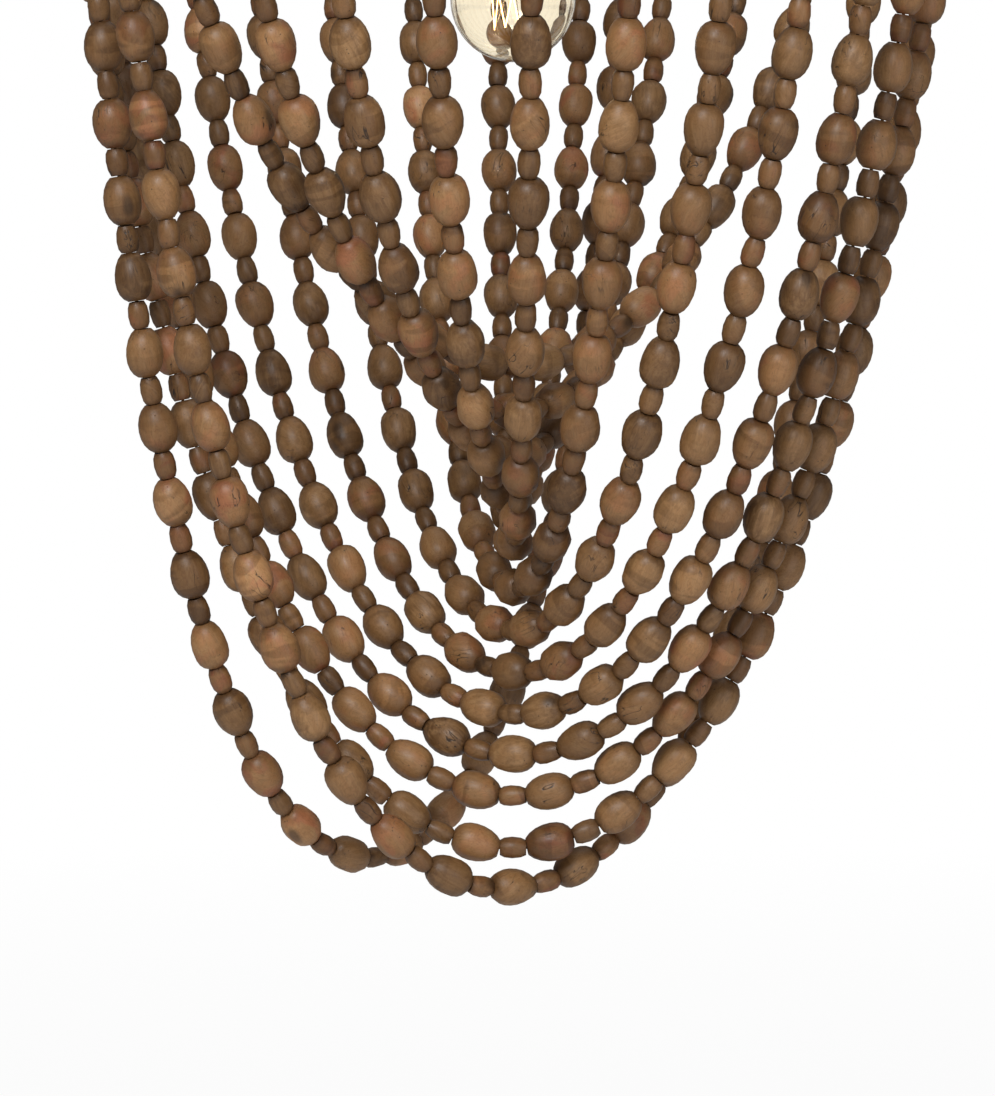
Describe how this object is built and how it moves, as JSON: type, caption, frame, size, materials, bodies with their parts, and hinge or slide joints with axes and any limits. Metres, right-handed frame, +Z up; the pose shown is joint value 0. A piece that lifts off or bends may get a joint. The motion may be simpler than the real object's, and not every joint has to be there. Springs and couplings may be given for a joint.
{
  "type": "beaded chandelier",
  "caption": "Chandelier of wooden bead strands hung in a spiral nest of U loops from a round steel ring, with a lamp inside, on bent arms, a chain and a ceiling canopy.",
  "frame": {"origin": "on the ceiling plane, at the middle of the crossbar's top face", "axes": "+Z up into the ceiling, +X along the crossbar and to the right in the picture, -Y towards the camera"},
  "size_m": [0.4178, 0.4178, 0.7893],
  "materials": {
    "bead_wood": "stained turned wood, soft sheen",
    "column_wood": "stained turned wood, soft sheen",
    "bronze_paint": "satin dark bronze",
    "brass": "aged, satin",
    "steel": "zinc plated",
    "ceramic": "glazed, off-white",
    "lamp_glass": "clear"
  },
  "bodies": {
    "ceiling_set": {"crossbar": "steel", "nipple": "brass", "nipple_locknut": "steel", "ceiling_loop": "brass"},
    "canopy_set": {"canopy": "bronze_paint", "canopy_collar": "brass"},
    "link_1": {"chain_link_1": "brass"},
    "link_2": {"chain_link_2": "brass"},
    "link_3": {"chain_link_3": "brass"},
    "frame": {"main_ring": "bronze_paint", "arm_1": "bronze_paint", "arm_2": "bronze_paint", "arm_3": "bronze_paint", "arm_4": "bronze_paint", "arm_screw_1": "brass", "arm_screw_2": "brass", "arm_screw_3": "brass", "arm_screw_4": "brass", "hub_upper_plate": "bronze_paint", "hub_lower_plate": "bronze_paint", "hub_nut": "brass", "stem": "steel", "stem_column": "column_wood", "top_loop": "brass", "lamp_holder": "ceramic", "screw_shell": "brass", "centre_contact": "brass"},
    "lamp": {"bulb_cap": "brass", "bulb_glass": "lamp_glass", "bulb_mount": "lamp_glass"},
    "strand_01_body": {"strand_01": "bead_wood"},
    "strand_02_body": {"strand_02": "bead_wood"},
    "strand_03_body": {"strand_03": "bead_wood"},
    "strand_04_body": {"strand_04": "bead_wood"},
    "strand_05_body": {"strand_05": "bead_wood"},
    "strand_06_body": {"strand_06": "bead_wood"},
    "strand_07_body": {"strand_07": "bead_wood"},
    "strand_08_body": {"strand_08": "bead_wood"},
    "strand_09_body": {"strand_09": "bead_wood"},
    "strand_10_body": {"strand_10": "bead_wood"},
    "strand_11_body": {"strand_11": "bead_wood"},
    "strand_12_body": {"strand_12": "bead_wood"},
    "strand_13_body": {"strand_13": "bead_wood"},
    "strand_14_body": {"strand_14": "bead_wood"}
  },
  "joints": [
    {"name": "canopy_drop", "type": "slide", "parent": "ceiling_set", "child": "canopy_set", "axis": [0, 0, -1], "range_m": [0, 0.035]},
    {"name": "link_1_swing", "type": "hinge", "parent": "ceiling_set", "child": "link_1", "pos_m": [0, 0, -0.06075], "axis": [1, 0, 0], "range_deg": [-8, 8]},
    {"name": "link_2_swing", "type": "hinge", "parent": "link_1", "child": "link_2", "pos_m": [0, 0, -0.08385], "axis": [0, 1, 0], "range_deg": [-8, 8]},
    {"name": "link_3_swing", "type": "hinge", "parent": "link_2", "child": "link_3", "pos_m": [0, 0, -0.10755], "axis": [1, 0, 0], "range_deg": [-8, 8]},
    {"name": "frame_swing", "type": "hinge", "parent": "link_3", "child": "frame", "pos_m": [0, 0, -0.13125], "axis": [0, 1, 0], "range_deg": [-8, 8]},
    {"name": "bulb_unscrew", "type": "slide", "parent": "frame", "child": "lamp", "axis": [0, 0, -1], "range_m": [0, 0.03]},
    {"name": "strand_01_swing", "type": "hinge", "parent": "frame", "child": "strand_01_body", "pos_m": [0, 0, -0.3257], "axis": [0.7547, 0.6561, 0], "range_deg": [-2, 2]},
    {"name": "strand_02_swing", "type": "hinge", "parent": "frame", "child": "strand_02_body", "pos_m": [0, 0, -0.3257], "axis": [0.5898, 0.8075, 0], "range_deg": [-2, 2]},
    {"name": "strand_03_swing", "type": "hinge", "parent": "frame", "child": "strand_03_body", "pos_m": [0, 0, -0.3257], "axis": [0.3953, 0.9185, 0], "range_deg": [-1.5, 1.5]},
    {"name": "strand_04_swing", "type": "hinge", "parent": "frame", "child": "strand_04_body", "pos_m": [0, 0, -0.3257], "axis": [0.181, 0.9835, 0], "range_deg": [-1, 1]},
    {"name": "strand_05_swing", "type": "hinge", "parent": "frame", "child": "strand_05_body", "pos_m": [0, 0, -0.3257], "axis": [-0.0424, 0.9991, 0], "range_deg": [-0.75, 0.75]},
    {"name": "strand_06_swing", "type": "hinge", "parent": "frame", "child": "strand_06_body", "pos_m": [0, 0, -0.3257], "axis": [-0.2636, 0.9646, 0], "range_deg": [-0.75, 0.75]},
    {"name": "strand_07_swing", "type": "hinge", "parent": "frame", "child": "strand_07_body", "pos_m": [0, 0, -0.3257], "axis": [-0.4717, 0.8818, 0], "range_deg": [-0.5, 0.5]},
    {"name": "strand_08_swing", "type": "hinge", "parent": "frame", "child": "strand_08_body", "pos_m": [0, 0, -0.3257], "axis": [-0.6561, 0.7547, 0], "range_deg": [-0.5, 0.5]},
    {"name": "strand_09_swing", "type": "hinge", "parent": "frame", "child": "strand_09_body", "pos_m": [0, 0, -0.3257], "axis": [-0.8075, 0.5898, 0], "range_deg": [-0.5, 0.5]},
    {"name": "strand_10_swing", "type": "hinge", "parent": "frame", "child": "strand_10_body", "pos_m": [0, 0, -0.3257], "axis": [-0.9185, 0.3953, 0], "range_deg": [-0.5, 0.5]},
    {"name": "strand_11_swing", "type": "hinge", "parent": "frame", "child": "strand_11_body", "pos_m": [0, 0, -0.3257], "axis": [-0.9835, 0.181, 0], "range_deg": [-0.5, 0.5]},
    {"name": "strand_12_swing", "type": "hinge", "parent": "frame", "child": "strand_12_body", "pos_m": [0, 0, -0.3257], "axis": [-0.9991, -0.0424, 0], "range_deg": [-0.75, 0.75]},
    {"name": "strand_13_swing", "type": "hinge", "parent": "frame", "child": "strand_13_body", "pos_m": [0, 0, -0.3257], "axis": [0.8818, 0.4717, 0], "range_deg": [-1, 1]},
    {"name": "strand_14_swing", "type": "hinge", "parent": "frame", "child": "strand_14_body", "pos_m": [-0.06833, 0.07023, -0.3257], "axis": [0.7167, 0.6973, 0], "range_deg": [-2, 2]}
  ]
}
